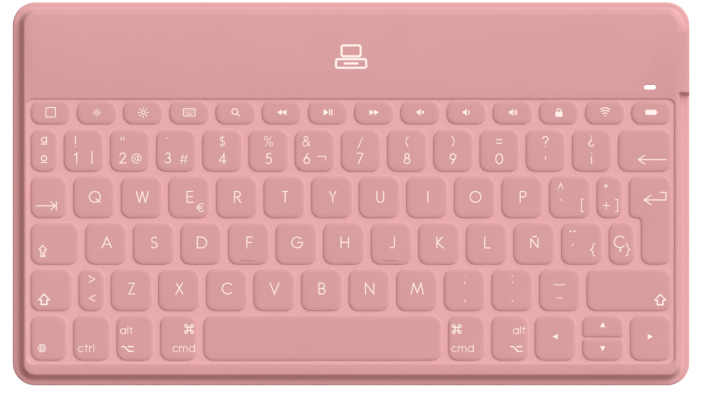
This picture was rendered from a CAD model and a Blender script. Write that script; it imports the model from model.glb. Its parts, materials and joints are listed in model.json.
"""A slim fabric-covered wireless keyboard for a tablet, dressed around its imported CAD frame.

Outlines and profiles are in millimetres; MM turns them into metres when a mesh is made.
"""
import json
import math

import bmesh
import bpy
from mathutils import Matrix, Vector
from mathutils.geometry import delaunay_2d_cdt

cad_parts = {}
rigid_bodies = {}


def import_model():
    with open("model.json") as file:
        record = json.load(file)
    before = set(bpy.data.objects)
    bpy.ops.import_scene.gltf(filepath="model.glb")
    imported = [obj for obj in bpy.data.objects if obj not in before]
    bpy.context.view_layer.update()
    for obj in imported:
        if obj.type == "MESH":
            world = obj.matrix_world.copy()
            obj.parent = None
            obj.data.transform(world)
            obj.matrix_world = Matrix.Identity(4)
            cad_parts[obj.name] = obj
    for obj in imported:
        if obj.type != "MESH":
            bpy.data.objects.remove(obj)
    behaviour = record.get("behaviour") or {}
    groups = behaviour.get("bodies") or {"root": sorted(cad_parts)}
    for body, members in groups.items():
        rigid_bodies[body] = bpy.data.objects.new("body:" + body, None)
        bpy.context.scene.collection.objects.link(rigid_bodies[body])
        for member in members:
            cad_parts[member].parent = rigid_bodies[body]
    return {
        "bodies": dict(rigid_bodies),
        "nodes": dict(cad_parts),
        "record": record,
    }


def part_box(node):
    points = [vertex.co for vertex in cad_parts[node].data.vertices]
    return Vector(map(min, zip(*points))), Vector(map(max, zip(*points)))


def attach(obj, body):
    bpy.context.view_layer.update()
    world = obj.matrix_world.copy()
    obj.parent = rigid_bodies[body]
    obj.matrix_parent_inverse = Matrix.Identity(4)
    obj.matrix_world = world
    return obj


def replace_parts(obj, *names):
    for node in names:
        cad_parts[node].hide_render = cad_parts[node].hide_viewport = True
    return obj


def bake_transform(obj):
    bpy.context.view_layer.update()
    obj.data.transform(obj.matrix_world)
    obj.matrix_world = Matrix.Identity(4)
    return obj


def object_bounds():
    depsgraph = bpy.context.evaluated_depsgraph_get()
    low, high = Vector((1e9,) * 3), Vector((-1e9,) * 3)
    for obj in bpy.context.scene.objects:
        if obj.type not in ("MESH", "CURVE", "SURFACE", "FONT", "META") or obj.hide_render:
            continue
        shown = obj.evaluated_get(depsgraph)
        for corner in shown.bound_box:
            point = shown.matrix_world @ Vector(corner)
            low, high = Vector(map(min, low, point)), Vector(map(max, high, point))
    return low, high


for leftover in list(bpy.data.objects):
    bpy.data.objects.remove(leftover)
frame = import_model()
cad_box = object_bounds()
MM = 0.001


# ---- Places, read from the frame ----
def node_box(name):
    """Lowest and highest corner of a CAD node, in millimetres."""
    low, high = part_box(name)
    return [c / MM for c in low], [c / MM for c in high]


HALF_W, HALF_D, DECK_Z = (c / MM for c in cad_box[1])
SKIN = 0.45                     # thickness that the CAD gives the fabric laminate
GLUE = 0.05                     # gap that the CAD leaves for glue
SHEET = 0.2                     # thickness of the fabric pieces made here
WEB_Z = node_box("key_frame")[1][2] + GLUE + SKIN
RISE = DECK_Z - WEB_Z
PLATE_MARGIN = 0.7              # from a key's foot in to the edge of its plate
CORNER_R = 8
KEY_R = 3
KEY_BODIES = [name for name in frame["bodies"] if name.endswith(("_key", "_keys", "_bar"))]


def clamp(value):
    return min(1, max(0, value))


def spots_of(mesh):
    """Each vertex's place in millimetres, rounded so that those in one place are equal."""
    return [tuple(round(c / MM, 3) for c in v.co) for v in mesh.vertices]


def key_name(body):
    return body.replace("_keys", "").replace("_key", "")


def islands(mesh):
    """The vertices of each loose part of a mesh, in millimetres."""
    parent = {}

    def root(p):
        while parent[p] != p:
            parent[p] = parent[parent[p]]
            p = parent[p]
        return p

    spots = spots_of(mesh)
    for spot in spots:
        parent.setdefault(spot, spot)
    for edge in mesh.edges:
        a, b = (root(spots[i]) for i in edge.vertices)
        parent[a] = b
    groups = {}
    for spot in parent:
        groups.setdefault(root(spot), []).append(spot)
    return list(groups.values())


def corners(box):
    x0, y0, x1, y1 = box
    return [(x0, y0), (x1, y0), (x1, y1), (x0, y1)]


def plate_box(spots):
    xs, ys = [p[0] for p in spots], [p[1] for p in spots]
    return [min(xs), min(ys), max(xs), max(ys)]


def grown(box, d):
    return [box[0] - d, box[1] - d, box[2] + d, box[3] + d]


def enter_foot(spots):
    """Corners of the enter key's foot: a tall key with a wider head."""
    x0, y0, x1, y1 = plate_box(spots)
    foot_left = min(p[0] for p in spots if p[1] < (y0 + y1) / 2 - KEY_R)
    head_front = min(p[1] for p in spots if p[0] < (x0 + foot_left) / 2)
    d = PLATE_MARGIN
    return [(foot_left - d, y0 - d), (x1 + d, y0 - d), (x1 + d, y1 + d), (x0 - d, y1 + d),
            (x0 - d, head_front - d), (foot_left - d, head_front - d)]


def feet(body):
    """The corners of each key's foot, row by row from the rear and left to right."""
    found = islands(frame["nodes"][body].data)
    if body == "enter_key":
        return [enter_foot(found[0])]
    boxes = [grown(plate_box(spots), PLATE_MARGIN) for spots in found]
    boxes.sort(key=lambda b: (-round(b[3]), b[0]))
    return [corners(b) for b in boxes]


def inside(x, y, polygon):
    """Whether a point is in a polygon, by counting the sides to its right."""
    crossed = False
    for (ax, ay), (bx, by) in zip(polygon, polygon[1:] + polygon[:1]):
        if (ay > y) != (by > y) and x < ax + (bx - ax) * (y - ay) / (by - ay):
            crossed = not crossed
    return crossed


FEET = {body: feet(body) for body in KEY_BODIES}
BLOCK = [f(c[i] for body in KEY_BODIES for foot in FEET[body] for c in foot)
         for f, i in ((min, 0), (min, 1), (max, 0), (max, 1))]
PAN = [BLOCK[0] - 1.85, BLOCK[1] - 1.6, BLOCK[2] + 1.9, BLOCK[3] + 1.35]    # the sunk field of keys
PAN_R = 2.5
BEZEL = node_box("port_bezel")
BAY_FRONT = BEZEL[0][1] - SKIN - GLUE
BAY_REAR = BEZEL[1][1] + SKIN + GLUE
WINDOW = node_box("light_pipe")
WINDOW_BOX = WINDOW[0][:2] + WINDOW[1][:2]
BODY = [-HALF_W, -HALF_D, HALF_W, HALF_D]


# ---- Outlines ----
LEAST_R = 0.02
SIDE_SHARE = 0.45               # the largest share of a side that a corner's radius can be
BODY_STEPS = 12                 # steps in each corner of the body's outline


def outline(points, d, radii, steps=8):
    """A right-angled, anticlockwise outline moved inwards by d, with rounded corners.

    The radii are one number or one for each corner, and hold at d = 0. The arcs keep their centres as
    d changes, unless their radius would be less than LEAST_R. They are smaller where a side is short.
    """
    found = []
    for i, (px, py) in enumerate(points):
        qx, qy = points[i - 1]
        nx, ny = points[(i + 1) % len(points)]
        back, on = math.dist((px, py), (qx, qy)), math.dist((px, py), (nx, ny))
        bx, by = (qx - px) / back, (qy - py) / back
        ox, oy = (nx - px) / on, (ny - py) / on
        size = min(radii[i] if isinstance(radii, list) else radii, SIDE_SHARE * min(back, on))
        convex = bx * oy - by * ox < 0
        if convex:
            size = max(size, d + LEAST_R)
        radius = size - d if convex else size + d
        cx, cy = px + (bx + ox) * size, py + (by + oy) * size
        for k in range(steps + 1):
            t = math.pi / 2 * k / steps
            c, s = math.cos(t) * radius, math.sin(t) * radius
            found.append((cx - ox * c - bx * s, cy - oy * c - by * s))
    return found


def box_outline(box, d, r, steps=8):
    return outline(corners(box), d, r, steps)


# ---- Meshes ----
SHARP_EDGE = 35                 # angle in degrees


class Surface:
    """A mesh in the making, in millimetres, from rings of points at one height."""

    def __init__(self):
        self.points, self.faces, self.tones = [], [], []

    def ring(self, flat, z, tone=0.0):
        start = len(self.points)
        self.points += [(x, y, z) for x, y in flat]
        self.tones += [tone] * len(flat)
        return list(range(start, len(self.points)))

    def bridge(self, a, b):
        for i in range(len(a)):
            self.faces.append((a[i - 1], a[i], b[i], b[i - 1]))

    def loft(self, outline_at, profile, tone_at=None):
        """Rings along a profile of (inset, height) points. Returns the first and the last."""
        rings = []
        for d, z in profile:
            tone = tone_at(z) if tone_at else 0.0
            rings.append(self.ring(outline_at(d), z, tone))
        for a, b in zip(rings, rings[1:]):
            self.bridge(a, b)
        return rings[0], rings[-1]

    def block(self, outline_at, profile, tone_at=None):
        """Closed rings along a profile, filled at both ends."""
        for end in self.loft(outline_at, profile, tone_at):
            self.fill(end)

    def fill(self, edge, holes=()):
        """Flat triangles inside the ring edge and outside the rings in holes."""
        loops = [edge, *holes]
        used = [i for loop in loops for i in loop]
        flat = [self.points[i][:2] for i in used]
        faces, start = [], 0
        for loop in loops:
            faces.append(list(range(start, start + len(loop))))
            start += len(loop)
        spots, _, triangles, spot_of, _, face_of = delaunay_2d_cdt(flat, [], faces, 0, 1e-6, True)
        for triangle, owners in zip(triangles, face_of):
            if list(owners) == [0]:
                self.faces.append(tuple(used[spot_of[i][0]] for i in triangle))
        assert len(spots) == len(used)

    def mesh(self, name):
        """The mesh, with every face outwards, and smooth except across sharp edges."""
        data = bpy.data.meshes.new(name)
        data.from_pydata([tuple(c * MM for c in p) for p in self.points], [], self.faces)
        tone = data.attributes.new("tone", "FLOAT", "POINT")
        tone.data.foreach_set("value", self.tones)
        work = bmesh.new()
        work.from_mesh(data)
        bmesh.ops.recalc_face_normals(work, faces=work.faces)
        work.to_mesh(data)
        work.free()
        data.shade_smooth()
        data.set_sharp_from_angle(angle=math.radians(SHARP_EDGE))
        return data


def added(name, data):
    """A new object in the scene."""
    made = bpy.data.objects.new(name, data)
    bpy.context.scene.collection.objects.link(made)
    return made


def place(name, surface, body, slot):
    """A piece in its slot's material. The caller binds it where body is None."""
    piece = added(name, surface.mesh(name))
    piece.data.materials.append(MATERIALS[slot])
    if body:
        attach(piece, body)
    return piece


# ---- Materials ----
def srgb(r, g, b):
    """Colour channels from 0 to 255, as linear values."""
    def linear(c):
        c /= 255
        return c / 12.92 if c <= 0.04045 else ((c + 0.055) / 1.055) ** 2.4
    return (linear(r), linear(g), linear(b), 1)


class Nodes:
    """Short ways to add shader nodes to one material."""

    def __init__(self, name):
        self.material = bpy.data.materials.new(name)
        self.material.use_nodes = True
        self.tree = self.material.node_tree
        self.shader = self.tree.nodes["Principled BSDF"]
        self.where = self.add("ShaderNodeNewGeometry").outputs["Position"]

    def add(self, kind, inputs=None, **settings):
        node = self.tree.nodes.new(kind)
        for key, value in settings.items():
            setattr(node, key, value)
        for key, value in (inputs or {}).items():
            self.feed(node.inputs[key], value)
        return node

    def noise(self, size_mm, detail=2.0, rough=0.5, stretch=(1, 1, 1)):
        """Noise whose grains are size_mm across."""
        scaled = self.add("ShaderNodeMapping", {"Vector": self.where, "Scale": stretch}).outputs[0]
        made = self.add("ShaderNodeTexNoise", {
            "Vector": scaled, "Scale": 1 / (size_mm * MM), "Detail": detail, "Roughness": rough})
        return made.outputs["Fac"]

    def maths(self, operation, a, b=0.0, c=0.0):
        node = self.add("ShaderNodeMath", {0: a, 1: b, 2: c}, operation=operation)
        return node.outputs[0]

    def ramp(self, value, low, high, to_low=0.0, to_high=1.0):
        node = self.add("ShaderNodeMapRange", {
            "Value": value, "From Min": low, "From Max": high, "To Min": to_low, "To Max": to_high})
        return node.outputs["Result"]

    def feed(self, socket, value):
        """Gives an input a value, or a link to another node's output."""
        if isinstance(value, bpy.types.NodeSocket):
            self.tree.links.new(value, socket)
        else:
            socket.default_value = value

    def mix(self, factor, a, b):
        """A mix of two colours. Sockets 6 and 7 are the node's colour inputs, and 2 is its colour output."""
        node = self.add("ShaderNodeMix", {"Factor": factor, 6: a, 7: b}, data_type="RGBA")
        return node.outputs[2]

    def bump(self, height, distance_mm, strength=1.0):
        made = self.add("ShaderNodeBump", {
            "Height": height, "Distance": distance_mm * MM, "Strength": strength})
        self.tree.links.new(made.outputs[0], self.shader.inputs["Normal"])

    def set(self, **values):
        """Sets inputs of the shader, by names with _ for each space."""
        for key, value in values.items():
            self.feed(self.shader.inputs[key.replace("_", " ")], value)


def tint(slot):
    """The record's colour for a material slot."""
    for entry in frame["record"]["materials"]:
        if entry["slot"] == slot:
            return srgb(*(255 * c for c in entry["base_color"][:3]))


def shade(colour, factor):
    return tuple(min(1, c * factor) for c in colour[:3]) + (1,)


PINK = (0.636, 0.307, 0.316, 1)
PALER = (1.21, 1.27, 1.27, 1)   # how much lighter the fabric is where it is pressed flat


def fabric_material(name, base):
    """Fabric laminate: a tight knit of soft grains under a matt, water-repellent coat."""
    n = Nodes(name)
    tone = n.add("ShaderNodeAttribute", attribute_name="tone").outputs["Fac"]
    light = n.mix(tone, base, tuple(c * p for c, p in zip(base, PALER)))
    cloud = n.ramp(n.noise(22, 3), 0.3, 0.7)
    grain = n.noise(0.42, 2, 0.6)
    thread = n.noise(0.9, 2, 0.6, (1, 0.35, 1))
    mottled = n.mix(cloud, shade(base, 0.985), shade(base, 1.015))
    mottled = n.mix(tone, mottled, light)
    speckled = n.mix(n.maths("MULTIPLY", n.ramp(grain, 0.35, 0.7), 0.35), mottled, shade(base, 0.93))
    n.set(Base_Color=speckled, Roughness=n.ramp(grain, 0.3, 0.7, 0.62, 0.78), Specular_IOR_Level=0.2,
          Sheen_Weight=0.06, Sheen_Roughness=0.45, Sheen_Tint=(1, 0.6, 0.6, 1))
    height = n.maths("ADD", n.maths("MULTIPLY", grain, 0.7), n.maths("MULTIPLY", thread, 0.3))
    n.bump(height, 0.05, 0.6)
    return n.material


def ink_material():
    """Pale screen-printed ink, a little thin where the fabric's grain stands up."""
    n = Nodes("legend_ink")
    colour = tint("legend_ink")
    grain = n.noise(0.35, 2, 0.6)
    worn = n.noise(3, 2)
    base = n.mix(n.maths("MULTIPLY", n.ramp(grain, 0.45, 0.75), 0.5), colour, shade(colour, 0.9))
    n.set(Base_Color=n.mix(n.ramp(worn, 0.45, 0.8, 0, 0.3), base, shade(colour, 0.94)), Roughness=0.6,
          Specular_IOR_Level=0.3)
    n.bump(grain, 0.02, 0.5)
    return n.material


def grained_material(slot, roughness, metallic=0.0, grain_mm=0.3, bump_mm=0.008, spread=0.04,
                     stretch=(1, 1, 1)):
    """Moulded plastic, rubber or metal, with a fine grain, faint flow marks and worn patches."""
    n = Nodes(slot)
    colour = tint(slot)
    grain = n.noise(grain_mm, 3, 0.6, stretch)
    flow = n.noise(9, 2)
    base = n.mix(grain, shade(colour, 1 - spread), shade(colour, 1 + spread))
    base = n.mix(n.ramp(flow, 0.35, 0.75, 0, 0.5), base, shade(colour, 1 - spread))
    n.set(Base_Color=base, Metallic=metallic,
          Roughness=n.ramp(grain, 0.3, 0.7, roughness * 0.88, min(1, roughness * 1.12)))
    n.bump(grain, bump_mm, 0.6)
    return n.material


def stripes(n, axis, pitch_mm, share):
    """1 on lines of a share of the pitch, which follow one after another along an axis."""
    across = n.add("ShaderNodeSeparateXYZ", {0: n.where}).outputs[axis]
    step = n.maths("FRACT", n.maths("DIVIDE", across, pitch_mm * MM))
    return n.maths("LESS_THAN", step, share)


def patches(n, size_mm, level):
    """1 in the cells of a noise that is above a level."""
    return n.maths("GREATER_THAN", n.noise(size_mm, 0), level)


def printed_material(slot, lines, line_colour, pitch_mm, share, cell_mm, roughness, alpha=1.0):
    """A film, flat cable or board with conductors that run along one axis, or along both."""
    n = Nodes(slot)
    colour = tint(slot)
    cells = patches(n, cell_mm, 0.5)
    first = n.maths("MULTIPLY", stripes(n, lines[0], pitch_mm, share), cells)
    second = n.maths("MULTIPLY", stripes(n, lines[-1], pitch_mm, share), n.maths("SUBTRACT", 1.0, cells))
    drawn = n.maths("MAXIMUM", first, second)
    grain = n.noise(0.4, 2)
    base = n.mix(grain, shade(colour, 0.96), shade(colour, 1.04))
    n.set(Base_Color=n.mix(drawn, base, line_colour), Metallic=n.maths("MULTIPLY", drawn, 0.8),
          Roughness=n.ramp(grain, 0.3, 0.7, roughness, roughness + 0.1), Alpha=alpha)
    n.bump(drawn, 0.01, 0.4)
    return n.material


def foil_material():
    """Pouch foil with small pressed dimples and a few creases."""
    n = Nodes("cell_foil")
    colour = tint("cell_foil")
    dimple = n.add("ShaderNodeTexVoronoi", {"Vector": n.where, "Scale": 1 / (1.1 * MM)}).outputs["Distance"]
    crease = n.noise(14, 4, 0.7)
    n.set(Base_Color=n.mix(crease, shade(colour, 0.93), shade(colour, 1.04)), Metallic=0.85,
          Roughness=n.ramp(dimple, 0.1, 0.6, 0.34, 0.5))
    n.bump(n.maths("ADD", dimple, n.maths("MULTIPLY", crease, 2.0)), 0.06, 0.5)
    return n.material


def window_material(slot, glow):
    """Milky plastic that spreads the light of the lamp under it."""
    n = Nodes(slot)
    colour = tint(slot)
    haze = n.noise(0.8, 2)
    n.set(Base_Color=n.mix(haze, shade(colour, 0.96), colour), Roughness=n.ramp(haze, 0.3, 0.7, 0.2, 0.3),
          Emission_Color=(1, 0.95, 0.87, 1), Emission_Strength=glow)
    return n.material


SILVER = (0.62, 0.64, 0.66, 1)
COPPER = (0.72, 0.36, 0.20, 1)
LIGHT_GREEN = (0.10, 0.30, 0.17, 1)
MATERIALS = {
    "legend_ink": ink_material(),
    "tray_plastic": grained_material("tray_plastic", 0.5),
    "frame_plastic": grained_material("frame_plastic", 0.6, grain_mm=0.5, bump_mm=0.012, stretch=(1, 4, 1)),
    "key_plastic": grained_material("key_plastic", 0.5),
    "bezel_plastic": grained_material("bezel_plastic", 0.55, grain_mm=0.16, bump_mm=0.014, spread=0.05),
    "plate_steel": grained_material("plate_steel", 0.38, 0.9, 0.25, 0.004, 0.06, (1, 12, 1)),
    "polyester_film": printed_material("polyester_film", (0, 1), SILVER, 2.6, 0.3, 18, 0.2, 0.85),
    "flex_film": printed_material("flex_film", (0, 0), COPPER, 0.8, 0.55, 4, 0.3),
    "dome_rubber": grained_material("dome_rubber", 0.72, grain_mm=0.2),
    "scissor_plastic": grained_material("scissor_plastic", 0.42),
    "cell_foil": foil_material(),
    "lead_insulation": grained_material("lead_insulation", 0.45, grain_mm=0.2),
    "board_laminate": printed_material("board_laminate", (0, 1), LIGHT_GREEN, 0.9, 0.35, 5, 0.3),
    "screw_steel": grained_material("screw_steel", 0.3, 1.0, 0.15, 0.006),
    "shield_metal": grained_material("shield_metal", 0.35, 0.95, 0.3, 0.003, 0.05, (8, 1, 1)),
    "connector_plastic": grained_material("connector_plastic", 0.5),
    "socket_steel": grained_material("socket_steel", 0.26, 1.0, 0.2, 0.003, 0.05, (8, 1, 1)),
    "tongue_plastic": grained_material("tongue_plastic", 0.5, grain_mm=0.15),
    "switch_plastic": grained_material("switch_plastic", 0.5),
    "slider_plastic": grained_material("slider_plastic", 0.5, grain_mm=0.14, bump_mm=0.01),
    "led_resin": window_material("led_resin", 0.0),
    "light_window": window_material("light_window", 0.16),
    "fabric_laminate": fabric_material("fabric_laminate", PINK),
}
for subpart in frame["record"]["subparts"]:
    node = frame["nodes"][subpart["node"]]
    node.data.materials.clear()
    node.data.materials.append(MATERIALS[subpart["material_slot"]])


# ---- Fabric ----
DRAPE = 0.36                    # how far the fabric's edge stands outside the foot of its key
LEAN = (0.11, 0.12)             # the fabric's offset over its key, to the right and the rear
SEAM = 0.15                     # width of a key's fabric outside its edge
FACING_R = 0.9                  # radius of the corners between the up and the down arrow
HALF_KEY = 0.7                  # a key that is lower than this share of its width is one of those two


def corner_radii(foot):
    """The radii of a key's corners, which are small where the up and the down arrow face each other."""
    x0, y0, x1, y1 = plate_box(foot)
    if foot not in FEET["arrow_keys"] or y1 - y0 > (x1 - x0) * HALF_KEY:
        return KEY_R
    front = y0 < min(corner[1] for other in FEET["arrow_keys"] for corner in other) + GLUE
    return [KEY_R, KEY_R, FACING_R, FACING_R] if front else [FACING_R, FACING_R, KEY_R, KEY_R]


def key_outline(foot, d):
    """The outline of the fabric over a key, moved inwards by d."""
    return [(x + LEAN[0], y + LEAN[1]) for x, y in outline(foot, d - DRAPE, corner_radii(foot))]


# Profiles are (distance inwards, height) points. In the key and pan profiles, a height is a share of
# RISE above the fabric between the keys.
KEY_PROFILE = [(-SEAM, 0), (-0.05, 0), (-0.015, 0.03), (0, 0.1), (0.015, 0.28), (0.035, 0.42),
               (0.07, 0.53), (0.14, 0.62), (0.28, 0.71), (0.48, 0.8), (0.72, 0.885), (0.98, 0.95),
               (1.22, 0.99), (1.4, 1)]
KEY_TONE_REACH = 0.3            # share of RISE over which the pale tone fades on a key's side
PAN_TONE_REACH = 0.4            # and on the wall round the keys
# When a key is down, its cover's underside stays above the key frame as far in as INNER, so that the
# frame's edge is covered. The frame reaches further in at the small corners of the two half keys.
INNER, HALF_KEY_INNER = 1.0, 1.7
KEY_UNDERSIDE = [(0.4, 0.28), (0.28, 0), (0.2, -SHEET / RISE), (-SEAM, -SHEET / RISE)]


def raised(profile):
    """A profile with its heights, as shares of RISE, turned into millimetres."""
    return [(d, WEB_Z + share * RISE) for d, share in profile]


def web_tone(reach):
    """A tone that is 1 at the fabric between the keys, and fades over a share of RISE above it."""
    return lambda z: clamp(1 - (z - WEB_Z) / (reach * RISE))


def key_fabric(body):
    """The fabric formed over each key of one body, closed underneath."""
    surface = Surface()
    for foot in FEET[body]:
        inner = INNER if corner_radii(foot) == KEY_R else HALF_KEY_INNER
        profile = [(inner + 0.4, 0.6), (inner, 0.365)] + KEY_UNDERSIDE + KEY_PROFILE
        surface.block(lambda d: key_outline(foot, d), raised(profile), web_tone(KEY_TONE_REACH))
    if body in ("f_key", "j_key"):
        homing_bar(surface, FEET[body][0])
    return surface


HOMING_BAR = (2.65, 0.28)       # half its length and width
HOMING_PLACE = 1.5              # from the front of the key's foot to its middle
HOMING_TONE = -1.0              # less than 0 is darker than the key


def homing_bar(surface, foot):
    """The raised bar near the front edge of the F and J keys."""
    x = (foot[0][0] + foot[1][0]) / 2
    y = foot[0][1] + HOMING_PLACE
    half_x, half_y = HOMING_BAR
    box = [x - half_x, y - half_y, x + half_x, y + half_y]
    profile = [(0, -0.1), (0, 0.06), (0.05, 0.14), (0.12, 0.2), (0.2, 0.22)]
    surface.block(lambda d: box_outline(box, d, half_y, 5), [(d, DECK_Z + z) for d, z in profile],
                  lambda z: HOMING_TONE)


EDGE_PROFILE = [(0.12, 0.98), (0.03, 1.02), (0, 1.12), (0.02, 1.3), (0.09, 1.5), (0.2, 1.68),
                (0.36, 1.86), (0.55, 1.94), (0.8, 1.97), (1.1, 1.965), (1.4, 1.96), (1.7, 1.98), (1.9, 2.03),
                (2.1, 2.12), (2.35, 2.27), (2.58, 2.47), (2.8, 2.75), (3, 3.07), (3.18, 3.47), (3.35, 3.95),
                (3.5, 4.42), (3.65, 4.88), (3.8, 5.28), (3.93, 5.56), (4.06, 5.76), (4.2, 5.89),
                (4.35, 5.97), (4.5, 6)]
EDGE_UNDERSIDE = [(4.4, 5.78), (4.2, 5.68), (4.02, 5.35), (3.8, 4.75), (3.55, 3.9), (3.3, 3.2), (3, 2.72),
                  (2.6, 2.3), (2.1, 1.98), (1.5, 1.82), (0.6, 1.7), (0.4, 1.5), (0.3, 1.3), (0.3, 0.98)]
PAN_PROFILE = [(-0.16, 1), (-0.11, 0.985), (-0.06, 0.93), (-0.02, 0.8), (0.01, 0.56), (0.04, 0.3),
               (0.08, 0.12), (0.14, 0.03), (0.22, 0)]
PAN_UNDERSIDE = [(0.22, -SHEET / RISE), (-0.06, -SHEET / RISE), (-0.14, 0), (-0.18, 0.3), (-0.2, 0.55)]
# About the window: (distance inwards, depth below the deck).
WINDOW_PROFILE = [(-0.22, 0), (-0.12, 0.01), (-0.02, 0.06), (0.03, 0.15), (0.03, SHEET + 0.02)]
WINDOW_R = 0.8
LIP_Z = 2                       # top of the lip
LIP_TONE = 0.7                  # how pale the lip is, where 1 is the fabric between the keys
LIP_FADE = 2.6                  # height on the shoulder where the lip's paler tone ends
SHOULDER_TONE = 0.28
SHOULDER_FADE = 0.5             # depth below the deck at which the shoulder has that tone
FRONT_SPREAD = 0.3              # how much narrower the lip is at the front
SPREAD_OVER = 3                 # distance inwards over which it gets narrower


def edge_tone(z):
    """How pale the edge is at a height: most on the lip, a little on the shoulder, 0 at the deck."""
    lip = clamp((LIP_FADE - z) / (LIP_FADE - LIP_Z))
    shoulder = clamp((DECK_Z - z) / SHOULDER_FADE)
    return SHOULDER_TONE * shoulder + (LIP_TONE - SHOULDER_TONE) * lip


def top_fabric():
    """The one sheet that makes the lip, the shoulder, the deck and the floor between the keys."""
    surface = Surface()
    feet_all = [foot for body in KEY_BODIES for foot in FEET[body]]

    def body_at(d):
        spread = FRONT_SPREAD * min(1, d / SPREAD_OVER)
        return box_outline([BODY[0], BODY[1] - spread, BODY[2], BODY[3]], d, CORNER_R, BODY_STEPS)

    def pan_at(d):
        return box_outline(PAN, d, PAN_R)

    def window_at(d):
        return box_outline(WINDOW_BOX, d, WINDOW_R)

    edge_low, edge_top = surface.loft(body_at, EDGE_PROFILE, edge_tone)
    pan_top, pan_floor = surface.loft(pan_at, raised(PAN_PROFILE), web_tone(PAN_TONE_REACH))
    window_top, window_low = surface.loft(window_at, [(d, DECK_Z - depth) for d, depth in WINDOW_PROFILE])
    seams = [surface.ring(key_outline(foot, -SEAM), WEB_Z, 1.0) for foot in feet_all]
    surface.fill(edge_top, [pan_top, window_top])
    surface.fill(pan_floor, seams)
    floor_under, deck_under = surface.loft(pan_at, raised(PAN_UNDERSIDE))
    edge_under, edge_inner = surface.loft(body_at, EDGE_UNDERSIDE)
    seams_under = [surface.ring(key_outline(foot, -SEAM), WEB_Z - SHEET, 1.0) for foot in feet_all]
    surface.fill(edge_under, [deck_under, window_low])
    surface.fill(floor_under, seams_under)
    for above, below in zip(seams, seams_under):
        surface.bridge(above, below)
    surface.bridge(edge_inner, edge_low)
    return surface


# Across the bay: (distance in from the right edge, height).
BAY_SECTION = [(0.1, 1.04), (0, 1.14), (0, 2), (0.12, 3.6), (0.22, 5), (0.27, 5.38), (0.36, 5.58),
               (0.55, 5.7), (0.95, 5.77), (1.5, 5.83), (2.3, 5.9), (3, 5.945), (3.4, 5.96), (3.7, 5.97),
               (3.95, 5.98), (4.15, 5.988), (4.3, 5.993), (4.45, 5.998), (4.7, 5.998), (5, 5.7), (9, 5.7),
               (9, 1.04)]
# Along its ends: (distance outwards, height).
BAY_END = [(-0.5, 6), (-0.3, 5.97), (-0.12, 5.85), (0.05, 5.55), (0.2, 5), (0.35, 4.3), (0.5, 3.65),
           (0.68, 3.05), (0.9, 2.55), (1.15, 2.2), (1.45, 2), (1.8, 1.9), (2.2, 1.6)]
BAY_CORNER = [3, 4.5]           # where the end curves round to meet the shoulder, in from the edge
BAY_TUCK = 0.6                  # how far the ends go in under the lip's rounded edge
TUCK_START = 0.8                # distance outwards along an end where that starts
BAY_STEP = 0.15


def end_height(outward):
    """Height of the bay's end slope at a distance outwards from the end."""
    for (a, high), (b, low) in zip(BAY_END, BAY_END[1:]):
        if outward < b:
            return high + (low - high) * max(0, outward - a) / (b - a)
    return BAY_END[-1][1]


def bay_fabric():
    """The raised bay on the right edge, whose top rolls down to the edge and whose ends slope."""
    surface = Surface()
    start, stop = BAY_CORNER
    bend = stop - start
    reach = BAY_END[-1][0] + bend
    steps = math.ceil((reach - BAY_END[0][0]) / BAY_STEP)
    outward = [reach - BAY_STEP * k for k in range(steps + 1)]
    sections = [(BAY_FRONT - u, u) for u in outward] + [(BAY_REAR + u, u) for u in reversed(outward)]
    rings = []
    for y, u in sections:
        ring = []
        for d, z in BAY_SECTION:
            share = clamp((d - start) / bend)
            height = min(z, end_height(u - bend * (1 - math.sqrt(1 - share * share))))
            tuck = BAY_TUCK * clamp(u - TUCK_START) * (1 - min(1, d / start))
            ring.append(len(surface.points))
            surface.points.append((HALF_W - d - tuck, y, height))
            surface.tones.append(edge_tone(height) if height < z else 0.0)
        rings.append(ring)
    for a, b in zip(rings, rings[1:]):
        surface.bridge(a, b)
    surface.faces += [tuple(rings[0]), tuple(rings[-1])]
    return surface


def cut(piece, low, high):
    """Takes a box out of a closed piece."""
    data = bpy.data.meshes.new("cutter")
    x0, y0, z0 = (c * MM for c in low)
    x1, y1, z1 = (c * MM for c in high)
    spots = [(x, y, z) for z in (z0, z1) for x, y in corners([x0, y0, x1, y1])]
    sides = [(k, (k + 1) % 4, (k + 1) % 4 + 4, k + 4) for k in range(4)]
    data.from_pydata(spots, [], [(3, 2, 1, 0), (4, 5, 6, 7), *sides])
    cutter = added("cutter", data)
    change = piece.modifiers.new("cut", "BOOLEAN")
    change.operation, change.solver, change.object = "DIFFERENCE", "EXACT", cutter
    bpy.context.view_layer.update()
    shape = bpy.data.meshes.new_from_object(piece.evaluated_get(bpy.context.evaluated_depsgraph_get()))
    piece.modifiers.clear()
    old = piece.data
    piece.data = shape
    bpy.data.objects.remove(cutter)
    bpy.data.meshes.remove(data)
    shape.name = old.name
    bpy.data.meshes.remove(old)


BASE_PROFILE = [(0.62, 0), (0.4, 0.035), (0.22, 0.12), (0.09, 0.27), (0.02, 0.48), (0, 0.7),
                (0.01, 0.84), (0.08, 0.94), (0.16, 0.97), (0.5, 0.97), (0.5, 0.5), (0.7, 0.35)]


def base_fabric():
    """The fabric under the tray, rolled up at its edge to meet the top sheet."""
    surface = Surface()
    surface.block(lambda d: box_outline(BODY, d, CORNER_R, BODY_STEPS), BASE_PROFILE)
    return surface


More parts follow.
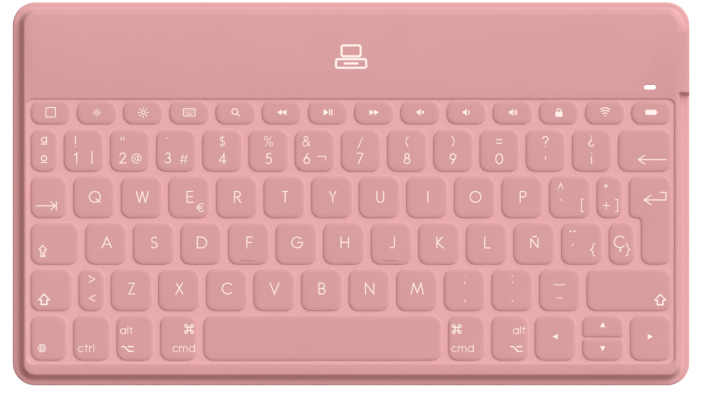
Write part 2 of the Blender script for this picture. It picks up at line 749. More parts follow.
def under_keys(nodes):
    """For each key body, a surface with the loose parts of some CAD nodes that lie under its keys."""
    found = {body: Surface() for body in KEY_BODIES}
    for node in nodes:
        data = frame["nodes"][node].data
        home = {}
        for group in islands(data):
            x, y = group[0][:2]
            body = next(body for body in KEY_BODIES if any(inside(x, y, foot) for foot in FEET[body]))
            for spot in group:
                home[spot] = body, len(found[body].points)
                found[body].points.append(spot)
                found[body].tones.append(0.0)
        spots = spots_of(data)
        for face in data.polygons:
            at = [home[spots[i]] for i in face.vertices]
            numbers = tuple(number for body, number in at)
            if len(set(numbers)) == len(numbers):
                found[at[0][0]].faces.append(numbers)
    return found


def make_springs():
    """The domes and the links, which give way as their key goes down."""
    for kind, slot, nodes in (("domes", "dome_rubber", ["rubber_domes"]),
                              ("links", "scissor_plastic", ["scissor_outer_links", "scissor_inner_links"])):
        for body, surface in under_keys(nodes).items():
            name = key_name(body) + "_" + kind
            piece = place(name, surface, None, slot)
            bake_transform(piece)
            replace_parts(piece, *nodes)


# ---- Hard parts on the outside ----
def facing_right(surface):
    """The surface turned so that its heights run along X, and its flat sides along Y and Z."""
    surface.points = [(z, x, y) for x, y, z in surface.points]
    return surface


def side_box(low, high):
    """The (y, z) box between two (x, y, z) corners."""
    return [low[1], low[2], high[1], high[2]]


def rounded_block(surface, box, profile, r):
    """Adds a closed block on a box, with rounded corners and the edges of a profile."""
    surface.block(lambda d: box_outline(box, d, r, 5), profile)


SOCKET = node_box("usb_shell")
SOCKET_WALL = 0.25
SOCKET_CUT = 0.9                # side of the triangle that is cut from each lower corner
SOCKET_R = 0.35
SOCKET_STEPS = 5                # steps in each of its corners


def socket_outline(d):
    """The charging socket's section in (y, z), moved inwards by d, with every corner rounded."""
    y0, z0, y1, z1 = grown(side_box(*SOCKET), -d)
    points = [(y0 + SOCKET_CUT, z0), (y1 - SOCKET_CUT, z0), (y1, z0 + SOCKET_CUT), (y1, z1), (y0, z1),
              (y0, z0 + SOCKET_CUT)]
    found = []
    for i, p in enumerate(points):
        p, before, after = (Vector(q) for q in (p, points[i - 1], points[(i + 1) % len(points)]))
        start = p + (before - p).normalized() * SOCKET_R
        stop = p + (after - p).normalized() * SOCKET_R
        for k in range(SOCKET_STEPS + 1):
            t = k / SOCKET_STEPS
            found.append(tuple(start * (1 - t) ** 2 + p * 2 * t * (1 - t) + stop * t * t))
    return found


def port_trim():
    """The moulded trim on the bay's side, with the socket's mouth and the slider's pocket."""
    surface = Surface()
    back, face = BEZEL[0][0], BEZEL[1][0]
    outer = [(0.1, back), (0, back + 0.1), (0, face - 0.22), (0.02, face - 0.12), (0.07, face - 0.04),
             (0.14, face)]
    mouth = [(-0.22, face), (-0.18, face - 0.03), (-0.15, face - 0.1), (-0.15, back)]
    pocket = [(-0.1, face), (-0.04, face - 0.03), (0, face - 0.1), (0, face - POCKET_DEPTH)]
    rear, front = surface.loft(lambda d: box_outline(side_box(*BEZEL), d, 0.45), outer)
    mouth_front, mouth_rear = surface.loft(socket_outline, mouth)
    pocket_front, pocket_floor = surface.loft(lambda d: box_outline(THUMB_POCKET, d, 0.5), pocket)
    slot_front, slot_rear = surface.loft(lambda d: box_outline(STEM_SLOT, d, 0.3),
                                         [(0, face - POCKET_DEPTH), (0, back)])
    surface.fill(front, [mouth_front, pocket_front])
    surface.fill(pocket_floor, [slot_front])
    surface.fill(rear, [mouth_rear, slot_rear])
    return facing_right(surface)


SLIDER = node_box("power_slider")
SLIDER_Y = (SLIDER[0][1] + SLIDER[1][1]) / 2
SLIDER_Z = (SLIDER[0][2] + SLIDER[1][2]) / 2
SLIDER_TRAVEL = 2.4             # towards the front
STEM = [0.7, 0.6]               # half the length and height of the slider's stem
RIB = [0.13, 0.7]               # half the width and height of a rib on its face
RIB_PITCH = 0.6
POCKET_DEPTH = 1.3


def slider_box(half_y, half_z, y=SLIDER_Y):
    return [y - half_y, SLIDER_Z - half_z, y + half_y, SLIDER_Z + half_z]


def along_travel(box):
    """The box, grown to the front by the slider's travel."""
    return [box[0] - SLIDER_TRAVEL, box[1], box[2], box[3]]


THUMB_POCKET = along_travel(slider_box(2.7, 1.15))
STEM_SLOT = along_travel(slider_box(STEM[0] + 0.2, STEM[1] + 0.2))


def slider_cap():
    """The switch's finger piece, with seven ribs on its face, and the stem behind it."""
    surface = Surface()
    back, face = SLIDER[0][0], SLIDER[1][0] - 0.3
    rounded_block(surface, slider_box(*STEM), [(0.1, back), (0, back + 0.1), (0, face - 0.7)], 0.2)
    rounded_block(surface, side_box(*SLIDER), [(0.06, face - 0.85), (0, face - 0.79), (0, face - 0.2),
                                               (0.04, face - 0.08), (0.14, face)], 0.45)
    rib_profile = [(0, face - 0.05), (0, face + 0.2), (0.03, face + 0.26), (0.08, face + 0.3)]
    for i in range(-3, 4):
        rib = slider_box(RIB[0], RIB[1], SLIDER_Y + RIB_PITCH * i)
        rounded_block(surface, rib, rib_profile, RIB[0])
    return facing_right(surface)


def socket_shell():
    """The folded steel shell of the charging socket, closed at its back."""
    surface = Surface()
    back, lip = SOCKET[0][0], SOCKET[1][0]
    profile = [(0.08, back), (0, back + 0.08), (0, lip - 0.12), (0.04, lip - 0.03), (0.11, lip),
               (0.18, lip - 0.02), (SOCKET_WALL, lip - 0.12), (SOCKET_WALL, back + 0.3)]
    surface.block(socket_outline, profile)
    return facing_right(surface)


TONGUE = node_box("usb_tongue")


def socket_tongue():
    """The plastic tongue inside the charging socket."""
    surface = Surface()
    back, tip = TONGUE[0][0] - 0.05, TONGUE[1][0]
    profile = [(0, back), (0, tip - 0.2), (0.03, tip - 0.07), (0.09, tip)]
    rounded_block(surface, side_box(*TONGUE), profile, 0.12)
    return facing_right(surface)


def socket_contacts():
    """Five sprung strips along the underside of the tongue."""
    surface = Surface()
    back, tip = TONGUE[0][0], TONGUE[1][0] - 0.3
    middle, under = (TONGUE[0][1] + TONGUE[1][1]) / 2, TONGUE[0][2]
    for i in range(-2, 3):
        y = middle + 0.65 * i
        box = [y - 0.19, under - 0.06, y + 0.19, under + 0.04]
        rounded_block(surface, box, [(0, back), (0, tip - 0.1), (0.02, tip)], 0.04)
    return facing_right(surface)


def light_lens():
    """The milky lens over the status light, with a low dome that stands just proud of the fabric."""
    surface = Surface()
    low = WINDOW[0][2]
    dome = [(0.06, DECK_Z - 0.1), (0.1, DECK_Z - 0.03), (0.2, DECK_Z + 0.02), (0.36, DECK_Z + 0.05),
            (0.6, DECK_Z + 0.07)]
    end_r = (WINDOW_BOX[3] - WINDOW_BOX[1]) / 2
    rounded_block(surface, WINDOW_BOX, [(0.12, low), (0.06, low + 0.06), *dome], end_r)
    return surface


# ---- Markings ----
STROKE = 0.33                   # width of a printed line in the letters and digits
THIN = 0.25                     # width in the other signs and the words
CAP = 4.2                       # height of the letters
DIGIT = 3.9                     # height of the digits
SMALL = 2.8                     # height of the words on the modifier keys
INK = 0.02                      # how far the ink stands above the fabric, and reaches into it
MITRE = 1.6                     # longest mitre, in half stroke widths
SHARP = -0.6                    # cosine of the turn from which a bend is cut level and not mitred
GAP = 0.75                      # space between the letters of a word
DOT = 0.65                      # radius of a dot, in stroke widths
LONG = 3                        # stroke widths from which a slanted line is cut level at its ends
SLANT = 0.5                     # least rise along a line of length 1 that is cut so
ARC_STEP = 18                   # degrees in a step of an arc, at the most


def arc(cx, cy, rx, ry, start, end):
    """Points along part of an ellipse, from one angle in degrees to another."""
    steps = max(2, math.ceil(abs(end - start) / ARC_STEP))
    turns = (math.radians(start + (end - start) * k / steps) for k in range(steps + 1))
    return [(cx + rx * math.cos(t), cy + ry * math.sin(t)) for t in turns]


def chain(parts):
    """One list of points, from points and arcs in any order."""
    return [p for part in parts for p in (part if isinstance(part, list) else [part])]


def line(*parts):
    return "line", chain(parts)


def loop(*parts):
    return "loop", chain(parts)


def area(*parts):
    return "area", chain(parts)


def ring(cx, cy, rx, ry):
    return loop(arc(cx, cy, rx, ry, 0, 360)[:-1])


def dot(x, y):
    return "dot", [(x, y)]


def mirrored(shapes):
    """The same shapes, with left and right changed over."""
    return [(kind, [(-x, y) for x, y in points]) for kind, points in shapes]


def upside_down(shapes):
    """The same shapes of height 1, turned half round."""
    return [(kind, [(-x, 1 - y) for x, y in points]) for kind, points in shapes]


def speaker(*waves):
    """A loudspeaker with an arc of each radius given."""
    cone = area((-1.35, 0.45), (-0.75, 0.45), (0.05, 1.3), (0.05, -1.3), (-0.75, -0.45), (-1.35, -0.45))
    return [cone] + [line(arc(0.05, 0, r, r, -42, 42)) for r in waves]


def sun(r, inner, outer):
    """A ring with eight rays."""
    rays = []
    for k in range(8):
        c, s = math.cos(math.pi * k / 4), math.sin(math.pi * k / 4)
        rays.append(line((c * inner, s * inner), (c * outer, s * outer)))
    return [ring(0, 0, r, r)] + rays


UPRIGHT = line((0, 0), (0, 1))
BOWL = arc(0.27, 0.74, 0.26, 0.26, 90, -90)
LETTER_C = line(arc(0.5, 0.5, 0.5, 0.5, 45, 315))
LETTER_N = line((0, 0), (0, 1), (0.77, 0), (0.77, 1))
LETTER_O = ring(0.5, 0.5, 0.5, 0.5)
SMALL_ROUND = ring(0.37, 0.37, 0.37, 0.37)
QUESTION = [line(arc(0.25, 0.75, 0.25, 0.25, 170, -60), (0.25, 0.42), (0.25, 0.28)), dot(0.25, 0)]
BRACKET = [line((0.18, 1), (0, 1), (0, 0), (0.18, 0))]
BRACE = [line((0.36, 1), arc(0.36, 0.84, 0.18, 0.16, 90, 180), (0.18, 0.64), (0, 0.5), (0.18, 0.36),
              arc(0.36, 0.16, 0.18, 0.16, 180, 270), (0.36, 0))]
PARENTHESIS = [line(arc(1, 0.5, 1, 0.8, 142, 218))]

# Strokes of the letters and signs, through their middle, on a height of 1.
GLYPHS = {
    "a": [SMALL_ROUND, line((0.74, 0.74), (0.74, 0))],
    "c": [line(arc(0.37, 0.37, 0.37, 0.37, 45, 315))],
    "d": [SMALL_ROUND, line((0.74, 1), (0.74, 0))],
    "l": [UPRIGHT],
    "m": [line((0, 0.74), (0, 0)), line((0, 0.45), arc(0.26, 0.46, 0.26, 0.28, 180, 0), (0.52, 0)),
          line((0.52, 0.45), arc(0.78, 0.46, 0.26, 0.28, 180, 0), (1.04, 0))],
    "r": [line((0, 0.74), (0, 0)), line((0, 0.42), arc(0.3, 0.42, 0.3, 0.32, 180, 90))],
    "t": [line((0.16, 1), (0.16, 0)), line((0, 0.74), (0.34, 0.74))],
    "A": [line((0, 0), (0.44, 1), (0.88, 0)), line((0.15, 0.33), (0.73, 0.33))],
    "B": [line((0, 0.5), (0, 1), (0.25, 1), arc(0.25, 0.75, 0.25, 0.25, 90, -90), (0, 0.5)),
          line((0, 0.5), (0.28, 0.5), arc(0.28, 0.25, 0.29, 0.25, 90, -90), (0, 0), (0, 0.5))],
    "C": [LETTER_C],
    "D": [loop((0, 0), (0, 1), (0.36, 1), arc(0.36, 0.5, 0.5, 0.5, 90, -90))],
    "E": [line((0.53, 1), (0, 1), (0, 0), (0.55, 0)), line((0, 0.52), (0.5, 0.52))],
    "F": [line((0.5, 1), (0, 1), (0, 0)), line((0, 0.5), (0.45, 0.5))],
    "G": [line(arc(0.5, 0.5, 0.5, 0.5, 45, 360), (0.55, 0.5))],
    "H": [UPRIGHT, line((0.68, 0), (0.68, 1)), line((0, 0.52), (0.68, 0.52))],
    "I": [UPRIGHT],
    "J": [line((0.42, 1), (0.42, 0.22), arc(0.2, 0.22, 0.22, 0.22, 0, -140))],
    "K": [UPRIGHT, line((0.5, 1), (0.04, 0.5), (0.56, 0))],
    "L": [line((0, 1), (0, 0), (0.5, 0))],
    "M": [line((0, 0), (0.2, 1), (0.55, 0.12), (0.9, 1), (1.1, 0))],
    "N": [LETTER_N],
    "Ñ": [LETTER_N, line((0.17, 1.2), arc(0.28, 1.17, 0.1, 0.08, 160, 40), (0.47, 1.2), (0.6, 1.28))],
    "O": [LETTER_O],
    "P": [line((0, 0), (0, 1), (0.27, 1), BOWL, (0, 0.48))],
    "Q": [LETTER_O, line((0.6, 0.34), (0.97, 0))],
    "R": [line((0, 0), (0, 1), (0.27, 1), BOWL, (0, 0.48)), line((0.22, 0.48), (0.55, 0))],
    "S": [line(arc(0.28, 0.75, 0.23, 0.25, 35, 270), arc(0.27, 0.25, 0.27, 0.25, 85, -145))],
    "T": [line((0, 1), (0.52, 1)), line((0.26, 1), (0.26, 0))],
    "U": [line((0, 1), (0, 0.3), arc(0.31, 0.3, 0.31, 0.3, 180, 360), (0.62, 1))],
    "V": [line((0, 1), (0.4, 0), (0.8, 1))],
    "W": [line((0, 1), (0.3, 0), (0.57, 1), (0.84, 0), (1.14, 1))],
    "X": [line((0, 0), (0.6, 1)), line((0.04, 1), (0.64, 0))],
    "Y": [line((0, 1), (0.29, 0.45), (0.58, 1)), line((0.29, 0.45), (0.29, 0))],
    "Z": [line((0, 1), (0.52, 1), (0, 0), (0.54, 0))],
    "Ç": [LETTER_C, line((0.5, 0), (0.5, -0.13), (0.58, -0.22), (0.44, -0.3))],
    "€": [line(arc(0.46, 0.5, 0.44, 0.5, 50, 310)), line((-0.1, 0.6), (0.6, 0.6)),
          line((-0.1, 0.4), (0.55, 0.4))],
    "0": [ring(0.34, 0.5, 0.34, 0.5)],
    "1": [line((0, 0.8), (0.2, 1), (0.2, 0))],
    "2": [line(arc(0.27, 0.72, 0.27, 0.28, 165, -35), (0, 0), (0.58, 0))],
    "3": [line(arc(0.26, 0.76, 0.23, 0.24, 150, -80), arc(0.26, 0.26, 0.28, 0.26, 80, -150))],
    "4": [line((0.47, 0), (0.47, 1), (0, 0.27), (0.64, 0.27))],
    "5": [line((0.5, 1), (0.13, 1), (0.06, 0.56), arc(0.24, 0.31, 0.3, 0.31, 110, -145))],
    "6": [line((0.42, 1), (0.06, 0.44)), ring(0.3, 0.29, 0.29, 0.29)],
    "7": [line((0, 1), (0.56, 1), (0.14, 0))],
    "8": [ring(0.28, 0.77, 0.21, 0.23), ring(0.28, 0.27, 0.28, 0.27)],
    "9": [line((0.17, 0), (0.53, 0.56)), ring(0.29, 0.71, 0.29, 0.29)],
    "ª": [ring(0.4, 0.62, 0.38, 0.38), line((0.78, 1), (0.78, 0.24)), line((0, -0.02), (0.85, -0.02))],
    "º": [ring(0.42, 0.62, 0.4, 0.38), line((0, -0.02), (0.85, -0.02))],
    "!": [line((0, 1), (0, 0.34)), dot(0, 0)],
    "¡": [line((0, 0), (0, 0.66)), dot(0, 1)],
    '"': [UPRIGHT, line((0.9, 0), (0.9, 1))],
    "'": [UPRIGHT],
    "|": [UPRIGHT],
    "·": [dot(0, 0)],
    "$": [line(arc(0.26, 0.7, 0.2, 0.2, 35, 270), arc(0.25, 0.28, 0.25, 0.22, 85, -145)),
          line((0.25, 1.05), (0.25, -0.08))],
    "%": [line((0.12, 0), (0.7, 1)), ring(0.16, 0.8, 0.16, 0.2), ring(0.68, 0.2, 0.16, 0.2)],
    "&": [line((0.75, 0), (0.14, 0.72), arc(0.31, 0.8, 0.19, 0.2, 200, -40), (0.12, 0.46),
               arc(0.27, 0.26, 0.27, 0.26, 130, 320), (0.7, 0.5))],
    "/": [line((0, 0), (0.42, 1))],
    "(": PARENTHESIS,
    ")": mirrored(PARENTHESIS),
    "=": [line((0, 0), (1.4, 0)), line((0, 1), (1.4, 1))],
    "?": QUESTION,
    "¿": upside_down(QUESTION),
    "@": [ring(0.5, 0.5, 0.2, 0.2), line((0.7, 0.72), (0.7, 0.36), arc(0.83, 0.4, 0.13, 0.12, 200, 340),
                                        arc(0.5, 0.5, 0.5, 0.5, 0, 300))],
    "#": [line((0.1, 0), (0.3, 1)), line((0.5, 0), (0.7, 1)), line((0, 0.33), (0.72, 0.33)),
          line((0.06, 0.67), (0.78, 0.67))],
    "¬": [line((0, 1), (2.2, 1), (2.2, 0))],
    "^": [line((0, 0), (0.42, 1), (0.84, 0))],
    "`": [line((0, 1), (0.8, 0))],
    "´": [line((0.8, 1), (0, 0))],
    "¨": [dot(0, 0), dot(1, 0)],
    "[": BRACKET,
    "]": mirrored(BRACKET),
    "{": BRACE,
    "}": mirrored(BRACE),
    "*": [line((0.5, 1), (0.5, 0)), line((0.07, 0.75), (0.93, 0.25)), line((0.07, 0.25), (0.93, 0.75))],
    "+": [line((0, 0.5), (1, 0.5)), line((0.5, 0), (0.5, 1))],
    "<": [line((0.95, 1), (0, 0.5), (0.95, 0))],
    ">": [line((0, 1), (0.95, 0.5), (0, 0))],
    ",": [line((0.25, 1), (0, 0))],
    ".": [dot(0, 0)],
    ";": [dot(0.1, 1), line((0.1, 0.2), (-0.02, -0.08))],
    ":": [dot(0, 1), dot(0, 0)],
    "-": [line((0, 0), (1, 0))],
}

# The pictures on the keys, in millimetres about their middle.
ARROW_HEAD = ((2.1, 1.5), (0, 0), (2.1, -1.5))
HOUSE = [(0, 1.95), (2.0, -0.1), (1.0, -0.1), (1.0, -1.75), (-1.0, -1.75), (-1.0, -0.1), (-2.0, -0.1)]
DOUBLE_LEFT = [area((-1.65, 0), (0, -1), (0, 1)), area((0, 0), (1.65, -1), (1.65, 1))]
POINTER = [area((-0.95, 0), (0.9, -0.95), (0.9, 0.95))]
PICTURES = {
    "frame": [loop(box_outline([-1.7, -1.7, 1.7, 1.7], 0, 0.35, 3))],
    "dim": sun(0.5, 1.0, 1.3),
    "bright": sun(0.62, 1.25, 1.8),
    "keys": [loop(box_outline([-2.1, -1.3, 2.1, 1.3], 0, 0.35, 3)), line((-0.9, -0.6), (0.9, -0.6))]
            + [dot(x, y) for x in (-1.3, -0.45, 0.45, 1.3) for y in (0.05, 0.7)],
    "search": [ring(-0.25, 0.3, 1.05, 1.05), line((0.55, -0.5), (1.3, -1.25))],
    "back": DOUBLE_LEFT,
    "play": [area((-1.55, 1.15), (-1.55, -1.15), (0.2, 0)), line((0.6, 0.9), (0.6, -0.9)),
             line((1.4, 0.9), (1.4, -0.9))],
    "forward": mirrored(DOUBLE_LEFT),
    "mute": speaker() + [line((0.55, 0.4), (1.15, -0.4)), line((0.55, -0.4), (1.15, 0.4))],
    "quiet": speaker(0.9),
    "loud": speaker(0.75, 1.35),
    "lock": [area(box_outline([-1.25, -1.6, 1.25, 0.2], 0, 0.25, 2)),
             line((-0.7, 0.2), arc(0, 0.65, 0.7, 0.65, 180, 0), (0.7, 0.2))],
    "wireless": [dot(0, -1.3), line(arc(0, -1.3, 1.1, 1.1, 48, 132)),
                 line(arc(0, -1.3, 2.0, 2.0, 50, 130)), line(arc(0, -1.3, 2.9, 2.9, 54, 126))],
    "battery": [area(box_outline([-2.15, -0.9, 1.75, 0.9], 0, 0.3, 2)),
                area((1.9, -0.45), (2.2, -0.45), (2.2, 0.45), (1.9, 0.45))],
    "erase": [line((-5, 0), (5, 0)), line(*[(x - 5, y) for x, y in ARROW_HEAD])],
    "tab": [line((-3.6, 0), (3.1, 0)), line((1.6, 1.4), (3.1, 0), (1.6, -1.4)),
            line((3.5, 1.4), (3.5, -1.4))],
    "enter": [line((-3.9, -1.2), (3.9, -1.2), (3.9, 1.5), (1.9, 1.5)),
              line((-1.6, 0.4), (-3.9, -1.2), (-1.6, -2.8))],
    "shift": [loop(*HOUSE)],
    "caps": [loop(*[(x * 0.72, y * 0.72 + 0.6) for x, y in HOUSE]),
             loop((-0.72, -1.35), (0.72, -1.35), (0.72, -1.9), (-0.72, -1.9))],
    "globe": [ring(0, 0, 1.4, 1.4), ring(0, 0, 0.55, 1.4), line((-1.35, 0), (1.35, 0)),
              line((-1.1, 0.75), (1.1, 0.75)), line((-1.1, -0.75), (1.1, -0.75))],
    "option": [line((-2.0, 0.85), (-1.0, 0.85), (0.5, -0.85), (2.0, -0.85)), line((0.3, 0.85), (2.0, 0.85))],
    "loops": [ring(x, y, 0.5, 0.5) for x in (-1.08, 1.08) for y in (-1.08, 1.08)]
             + [line((-1.08, s), (1.08, s)) for s in (-0.58, 0.58)]
             + [line((s, -1.08), (s, 1.08)) for s in (-0.58, 0.58)],
    "left": POINTER,
    "right": mirrored(POINTER),
    "up": [(kind, [(y, -x) for x, y in points]) for kind, points in POINTER],
    "down": [(kind, [(y, x) for x, y in points]) for kind, points in POINTER],
}
# Widths of the printed lines that differ from STROKE and THIN.
WIDTHS = {
    "frame": 0.29, "dim": 0.23, "bright": 0.28, "keys": 0.28, "search": 0.32, "play": 0.36, "lock": 0.33,
    "wireless": 0.34, "erase": 0.33, "tab": 0.32, "enter": 0.35, "caps": 0.34, "shift": 0.46,
    "globe": 0.19, "option": 0.42, "ctrl": 0.22, "alt": 0.22, "cmd": 0.22,
    "ª": 0.32, "º": 0.32, "#": 0.21, "$": 0.21, "%": 0.21, "*": 0.18, "`": 0.2, "´": 0.2, "|": 0.31,
    "=": 0.31, "<": 0.31, ">": 0.31, "?": 0.33, "¿": 0.33, "¡": 0.33, "!": 0.33, "{": 0.29, "}": 0.29,
    "¨": 0.5, ":": 0.34, ".": 0.38, "·": 0.36}
# What is printed on each key of a body, row by row and left to right: a sign or word with its place
# from the key's middle and its height, or a picture with its place.
MARKS = {
    "function_row_keys": [[(name, 0.15, 0.25)] for name in (
        "frame", "dim", "bright", "keys", "search", "back", "play", "forward", "mute", "quiet", "loud",
        "lock", "wireless", "battery")],
    "number_row_keys": [
        [("ª", 0.18, 3.7, 2.7), ("º", 0.08, -2.9, 2.7)],
        [("!", -2.82, 3.3, DIGIT), ("1", -2.7, -2.5, DIGIT), ("|", 3.1, -2.4, 4.7)],
        [('"', -2.5, 4.4, 1.3), ("2", -2.4, -2.5, DIGIT), ("@", 2.5, -2.7, 3.5)],
        [("·", -3.22, 4.7, 1), ("3", -2.8, -2.5, DIGIT), ("#", 2.9, -2.8, 3.4)],
        [("$", 0.2, 3.5, 3.8), ("4", 0.2, -2.8, DIGIT)],
        [("%", 0.1, 3.5, 3.7), ("5", 0.2, -2.7, DIGIT)],
        [("&", -2.8, 3.5, 3.7), ("6", -2.7, -2.7, DIGIT), ("¬", 2.6, -2.6, 1.6)],
        [("/", -0.1, 2.9, DIGIT), ("7", -0.2, -2.6, DIGIT)],
        [("(", 0.1, 3.3, 3.8), ("8", 0.1, -2.7, DIGIT)],
        [(")", 0, 3.4, 3.8), ("9", 0, -2.8, DIGIT)],
        [("=", 0, 3.4, 1.6), ("0", 0, -2.8, DIGIT)],
        [("?", 0, 3.4, DIGIT), ("'", 0, -2.5, 1.3)],
        [("¿", -0.1, 3.5, DIGIT), ("¡", 0, -2.7, 4.0)],
        [("erase", 2.88, -3.1)]],
    "punctuation_keys": [
        [("^", -3.1, 4.1, 2.2), ("`", -3, -0.9, 0.9), ("[", 4.7, -2.8, 4.7)],
        [("*", -1.2, 4.1, 1.6), ("+", -1.1, -2.9, 2.6), ("]", 2.6, -2.9, 4.6)],
        [("¨", -3.2, 4.5, 2.0), ("´", -3.2, -0.3, 0.9), ("{", 4.1, -2.1, 4.7)],
        [("Ç", -0.7, 0.1, 4.4), ("}", 2.3, -2.1, 4.7)],
        [(">", 0.3, 4, 2.5), ("<", 0.3, -2.8, 2.5)],
        [(";", 0.3, 3.8, 2.9), (",", 0.4, -3.7, 1.2)],
        [(":", 0.2, 4, 2.6), (".", 0.2, -3.8, 1)],
        [("-", 0.1, 2, 4.2), ("-", 0.1, -2.7, 2.2)]],
    "modifier_keys": [
        [("tab", -0.7, -3)], [("caps", -4.2, -2.6)], [("shift", -2.5, -3.3)], [("shift", 11.3, -3.4)],
        [("globe", -2.3, -3.5)], [("ctrl", -1.9, -3.5, SMALL)],
        [("alt", -3, 2.9, SMALL), ("option", -2.6, -3.8)],
        [("loops", 3.9, 3.4), ("cmd", 2, -3.5, SMALL)],
        [("loops", -3.4, 3.3), ("cmd", -1.3, -3.5, SMALL)],
        [("alt", 3.4, 2.9, SMALL), ("option", 2.4, -3.8)]],
    "arrow_keys": [[("left", 0, 0.6)], [("up", 0, 0.7)], [("right", 0, 0.6)], [("down", 0, 0.5)]],
    "enter_key": [[("enter", 1.9, 8.6)]],
    "n_tilde_key": [[("Ñ", 0.2, 0.7, 3.6)]],
    "space_bar": [[]],
}
# The letter's place on a letter key, row by row.
LETTER_PLACES = {"QWERTYUIOP": (0.45, 0.2), "ASDFGHJKL": (0.45, 0.5), "ZXCVBNM": (0.25, 0.65)}
EURO = ("€", 4.1, -3.6, 3.0)    # the second sign on the E key


def line_width(name):
    return WIDTHS.get(name, STROKE if name.isalnum() else THIN)


def limbs(points):
    """A line's points, parted at each sharp bend, where both sides keep the point."""
    found, start = [], 0
    for i in range(1, len(points) - 1):
        before = (Vector(points[i]) - Vector(points[i - 1])).normalized()
        after = (Vector(points[i + 1]) - Vector(points[i])).normalized()
        if before.dot(after) < SHARP:
            found.append(points[start:i + 1])
            start = i
    return found + [points[start:]]


def stroke(points, width, closed=False):
    """Four-sided pieces that make a line of one width, with mitred bends and square ends.

    A long slanted line is cut level at its ends, and at its sharp bends.
    """
    if not closed and len(limbs(points)) > 1:
        return [piece for limb in limbs(points) for piece in stroke(limb, width)]
    half = width / 2
    count = len(points)
    sides = []
    for i, p in enumerate(points):
        ways = []
        for a, b in ((i - 1, i), (i, i + 1)):
            if closed or (a >= 0 and b < count):
                ways.append(Vector(points[b % count]) - Vector(points[a]))
        normals = [Vector((-w.y, w.x)).normalized() for w in ways]
        middle = Vector(p)
        if len(ways) == 2:
            across = normals[0] + normals[1]
            side = across * half / max(0.1, 1 + normals[0].dot(normals[1]))
            if side.length > MITRE * half:
                side.length = MITRE * half
        else:
            outward = ways[0].normalized() * (-1 if i == 0 else 1)
            if ways[0].length > LONG * width and abs(outward.y) > SLANT:
                middle = middle + outward * half / abs(outward.y)
                side = Vector((half / normals[0].x, 0))
            else:
                middle = middle + outward * half
                side = normals[0] * half
        sides.append((tuple(middle + side), tuple(middle - side)))
    pairs = zip(sides, sides[1:] + sides[:1]) if closed else zip(sides, sides[1:])
    return [[a[0], a[1], b[1], b[0]] for a, b in pairs]


def span(points, axis):
    values = [p[axis] for p in points]
    return min(values), max(values)


def shifted(shapes, x, y):
    """The same shapes, moved by x and y."""
    return [(kind, [(px + x, py + y) for px, py in points]) for kind, points in shapes]


def lettering(name, height):
    """The shapes of a sign or word, which start at x = 0. The height takes in the stroke's width."""
    scale = height - line_width(name)
    shapes, x = [], 0
    for letter in ([name] if name in GLYPHS else name):
        scaled = [(kind, [(px * scale, py * scale) for px, py in points])
                  for kind, points in GLYPHS[letter]]
        low, high = span(chain([points for kind, points in scaled]), 0)
        shapes += shifted(scaled, x - low, 0)
        x += high - low + GAP
    return shapes


def mark_polygons(name, x, y, height=None):
    """The filled outlines of one mark whose middle is at (x, y). A picture is given no height."""
    if height is None:
        shapes = shifted(PICTURES[name], x, y)
    else:
        shapes = lettering(name, height)
        spots = chain([points for kind, points in shapes])
        shapes = shifted(shapes, x - sum(span(spots, 0)) / 2, y - sum(span(spots, 1)) / 2)
    width = line_width(name)
    found = []
    for kind, points in shapes:
        if kind == "area":
            found.append(points)
        elif kind == "dot":
            found.append(arc(*points[0], DOT * width, DOT * width, 0, 360)[:-1])
        else:
            found += stroke(points, width, kind == "loop")
    return found


def print_shapes(surface, polygons, low, high):
    """Adds the union of some flat polygons to a surface, as a closed plate between two heights."""
    flat, sides = [], []
    for polygon in polygons:
        start, count = len(flat), len(polygon)
        flat += [Vector(p) for p in polygon]
        sides += [(start + i, start + (i + 1) % count) for i in range(count)]
    spots, _, triangles, *_ = delaunay_2d_cdt(flat, sides, [], 0, 1e-4, True)
    kept = []
    for triangle in triangles:
        a, b, c = (spots[i] for i in triangle)
        x, y = (a + b + c) / 3
        if any(inside(x, y, polygon) for polygon in polygons):
            kept.append(tuple(triangle))
    above = surface.ring(spots, high)
    below = surface.ring(spots, low)
    walls = {(a, b) for t in kept for a, b in zip(t, t[1:] + t[:1])}
    for t in kept:
        surface.faces.append(tuple(above[i] for i in t))
        surface.faces.append(tuple(below[i] for i in reversed(t)))
    for a, b in walls:
        if (b, a) not in walls:
            surface.faces.append((above[a], below[a], below[b], above[b]))


def key_marks(body):
    """What is printed on each key of a body: its entry in MARKS, or the letter that it is named after."""
    if body in MARKS:
        return MARKS[body]
    letter = body.replace("_key", "").upper()
    x, y = next(place for row, place in LETTER_PLACES.items() if letter in row)
    return [[(letter, x, y, CAP)] + ([EURO] if letter == "E" else [])]


def key_legends(body):
    """The printed marks of one body's keys, as thin plates of ink."""
    surface = Surface()
    for foot, marks in zip(FEET[body], key_marks(body), strict=True):
        x0, y0, x1, y1 = plate_box(foot)
        polygons = []
        for name, x, y, *height in marks:
            polygons += mark_polygons(name, (x0 + x1) / 2 + x, (y0 + y1) / 2 + y, *height)
        if polygons:
            print_shapes(surface, polygons, DECK_Z - INK, DECK_Z + INK)
    return surface


DECK_MARK_Y = 49                # middle of the drawing on the rear strip
DECK_MARK_LINE = 0.75           # width of its lines


def deck_mark():
    """A plain drawing of a screen over a keyboard, in the middle of the rear strip."""
    surface = Surface()
    polygons = []
    for box in ([-3.4, 0.1, 3.4, 4.0], [-5.4, -4.0, 5.4, -0.9]):
        polygons += stroke(box_outline(box, 0, 0.7, 4), DECK_MARK_LINE, True)
    polygons += stroke([(-2.2, -2.45), (2.2, -2.45)], DECK_MARK_LINE)
    moved = [[(px, py + DECK_MARK_Y) for px, py in polygon] for polygon in polygons]
    print_shapes(surface, moved, DECK_Z - INK, DECK_Z + INK)
    return surface


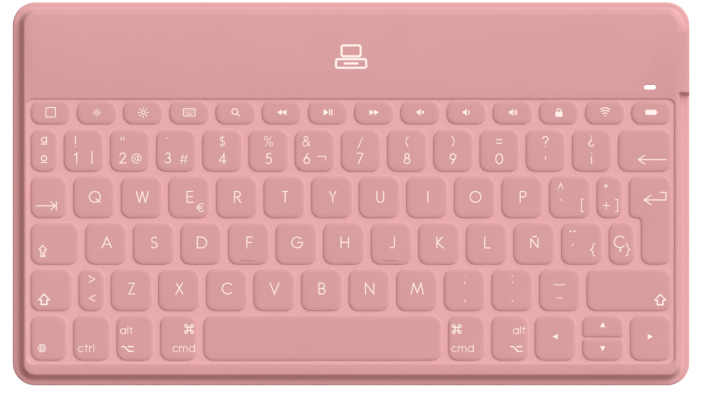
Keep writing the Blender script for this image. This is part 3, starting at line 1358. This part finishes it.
# ---- The view, in metres ----
VIEW_CENTRE = (0.0005, -0.0024)
VIEW_WIDTH = 0.25224            # width of what the camera sees on the table
VIEW_HEIGHT = 4                 # of the camera over the table
FLOOR_HALF = 12                 # half the side of the floor


def make_camera():
    """Straight above, through a long lens, with the keyboard a little above the frame's middle."""
    data = bpy.data.cameras.new("camera")
    data.sensor_width = 36
    data.lens = data.sensor_width * VIEW_HEIGHT / VIEW_WIDTH
    data.clip_start, data.clip_end = 0.1, 40
    camera = added("camera", data)
    camera.location = (*VIEW_CENTRE, VIEW_HEIGHT)
    bpy.context.scene.camera = camera


SKY = 0.63                      # strength of the sky overhead
TOWARDS_LIGHT = (0.72, 0.69, 0)
SKY_LEAN = (0.7, 1.13, 1.13)    # how much brighter red, green and blue are that way
# Each lamp's strength, the angle that it spreads over, and the way towards it.
LAMPS = {"high_light": (1.4, 50, (0.42, 0.4, 0.82)), "side_light": (0.65, 40, (0.69, 0.6, 0.4))}


def make_light():
    """Soft light from a wide sky that is brighter to the upper right, with a weak broad lamp there."""
    world = bpy.data.worlds.new("studio")
    world.use_nodes = True
    tree = world.node_tree
    value = tree.nodes.new("ShaderNodeTexCoord").outputs["Generated"]
    steps = (("DOT_PRODUCT", TOWARDS_LIGHT, None), ("MULTIPLY_ADD", SKY_LEAN, (1, 1, 1)),
             ("MAXIMUM", (0, 0, 0), None))
    for operation, other, third in steps:
        step = tree.nodes.new("ShaderNodeVectorMath")
        step.operation = operation
        tree.links.new(value, step.inputs[0])
        step.inputs[1].default_value = other
        if third:
            step.inputs[2].default_value = third
        value = step.outputs["Value" if operation == "DOT_PRODUCT" else "Vector"]
    background = tree.nodes["Background"]
    tree.links.new(value, background.inputs["Color"])
    background.inputs["Strength"].default_value = SKY
    bpy.context.scene.world = world
    for name, (energy, spread, way) in LAMPS.items():
        data = bpy.data.lights.new(name, "SUN")
        data.energy, data.angle = energy, math.radians(spread)
        lamp = added(name, data)
        lamp.rotation_euler = Vector(way).to_track_quat("Z", "Y").to_euler()
    bpy.context.scene.view_settings.view_transform = "Standard"


def make_floor():
    """Bright paper, which sends less light back on to the keyboard than it shows."""
    n = Nodes("floor_paper")
    grain = n.noise(6, 3)
    seen = n.add("ShaderNodeLightPath").outputs["Is Camera Ray"]
    n.set(Base_Color=n.mix(grain, (0.2, 0.2, 0.2, 1), (0.22, 0.22, 0.22, 1)), Roughness=0.9,
          Specular_IOR_Level=0.1, Emission_Color=(1, 1, 1, 1),
          Emission_Strength=n.ramp(seen, 0, 1, 0.3, 0.9))
    data = bpy.data.meshes.new("floor")
    square = corners([-FLOOR_HALF, -FLOOR_HALF, FLOOR_HALF, FLOOR_HALF])
    data.from_pydata([(x, y, 0) for x, y in square], [], [(0, 1, 2, 3)])
    data.materials.append(n.material)
    floor = added("floor", data)


# ---- The pieces ----
# The room for the trim on the bay's side, as two corners.
BAY_ROOM = ([HALF_W - 8.6, BAY_FRONT + SKIN, 2.02], [HALF_W + 1, BAY_REAR - SKIN, DECK_Z - SKIN])

make_camera()
make_light()
make_floor()

top = place("top_fabric", top_fabric(), None, "fabric_laminate")
cut(top, *BAY_ROOM)
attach(top, "base")
bay = place("bay_fabric", bay_fabric(), None, "fabric_laminate")
cut(bay, *BAY_ROOM)
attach(bay, "base")
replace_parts(top, "top_skin")
underside = place("base_fabric", base_fabric(), "base", "fabric_laminate")
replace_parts(underside, "bottom_skin")
for body in KEY_BODIES:
    piece = place(key_name(body) + "_key_fabric", key_fabric(body), None, "fabric_laminate")
    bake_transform(piece)
    legends = key_legends(body)
    if legends.faces:
        place(key_name(body) + "_legend", legends, body, "legend_ink")
make_springs()
place("deck_mark", deck_mark(), "base", "legend_ink")
for name, made, body, slot, node in (
        ("port_trim", port_trim(), "base", "bezel_plastic", "port_bezel"),
        ("slider_cap", slider_cap(), "power_slider", "slider_plastic", "power_slider"),
        ("socket_shell", socket_shell(), "base", "socket_steel", "usb_shell"),
        ("socket_tongue", socket_tongue(), "base", "tongue_plastic", "usb_tongue"),
        ("socket_contacts", socket_contacts(), "base", "socket_steel", "usb_tongue"),
        ("light_lens", light_lens(), "base", "light_window", "light_pipe")):
    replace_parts(place(name, made, body, slot), node)
